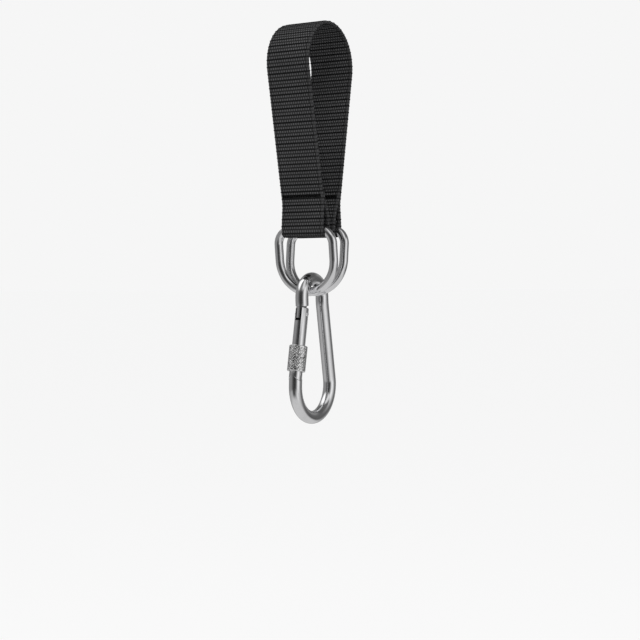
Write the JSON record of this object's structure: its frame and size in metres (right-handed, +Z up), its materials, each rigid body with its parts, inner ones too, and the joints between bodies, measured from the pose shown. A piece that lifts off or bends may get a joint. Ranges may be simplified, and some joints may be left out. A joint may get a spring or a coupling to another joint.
{
  "type": "swing hanging strap with D-rings and screw-lock hook",
  "caption": "Sewn webbing strap for a swing beam, with two D-rings and a pear-shaped screw-lock snap hook.",
  "frame": {"origin": "on the axis of the beam the strap wraps over, at the middle of the webbing's width", "axes": "+X along the beam, -Y towards the side of the hook's gate, +Z up; the strap hangs down from the origin"},
  "size_m": [0.0685, 0.0778, 0.3684],
  "materials": {
    "webbing": "woven charcoal webbing",
    "thread": "black bonded thread",
    "polished_steel": "polished stainless steel",
    "knurled_steel": "matt knurled stainless steel",
    "spring_steel": "drawn stainless wire"
  },
  "bodies": {
    "strap": {"webbing_strap": "webbing", "front_stitching": "thread", "rear_stitching": "thread"},
    "front_ring": {"front_d_ring": "polished_steel"},
    "rear_ring": {"rear_d_ring": "polished_steel"},
    "hook": {"hook_body": "polished_steel"},
    "gate": {"hook_gate": "polished_steel", "gate_pivot": "polished_steel", "latch_pin": "polished_steel", "gate_spring": "spring_steel"},
    "sleeve": {"lock_sleeve": "knurled_steel"},
    "plunger": {"spring_plunger": "spring_steel"}
  },
  "joints": [
    {"name": "hook_swing", "type": "hinge", "parent": "strap", "child": "hook", "pos_m": [0, 0, -0.203], "axis": [1, 0, 0], "range_deg": [-25, 25]},
    {"name": "front_ring_swing", "type": "hinge", "parent": "strap", "child": "front_ring", "pos_m": [0, -0.0102, -0.1508], "axis": [1, 0, 0], "range_deg": [-5, 5]},
    {"name": "rear_ring_swing", "type": "hinge", "parent": "strap", "child": "rear_ring", "pos_m": [0, 0.0102, -0.1508], "axis": [1, 0, 0], "range_deg": [-5, 5]},
    {"name": "gate_open", "type": "hinge", "parent": "hook", "child": "gate", "pos_m": [0, -0.0287, -0.282], "axis": [-1, 0, 0], "range_deg": [0, 18], "stiffness_Nm_per_rad": 1.2, "springref_deg": -11.46},
    {"name": "sleeve_travel", "type": "slide", "parent": "gate", "child": "sleeve", "axis": [0, 0.197, 0.9804], "range_m": [0, 0.0365]},
    {"name": "plunger_travel", "type": "slide", "parent": "gate", "child": "plunger", "axis": [0, 0.197, 0.9804], "range_m": [0, 0.0008], "deforming": ["gate_spring"]}
  ],
  "couplings": [
    {"joint": "front_ring_swing", "follows": "hook_swing", "ratio": 0.2},
    {"joint": "rear_ring_swing", "follows": "hook_swing", "ratio": 0.2},
    {"joint": "plunger_travel", "follows": "gate_open", "m_per_rad": 0.0025465}
  ]
}
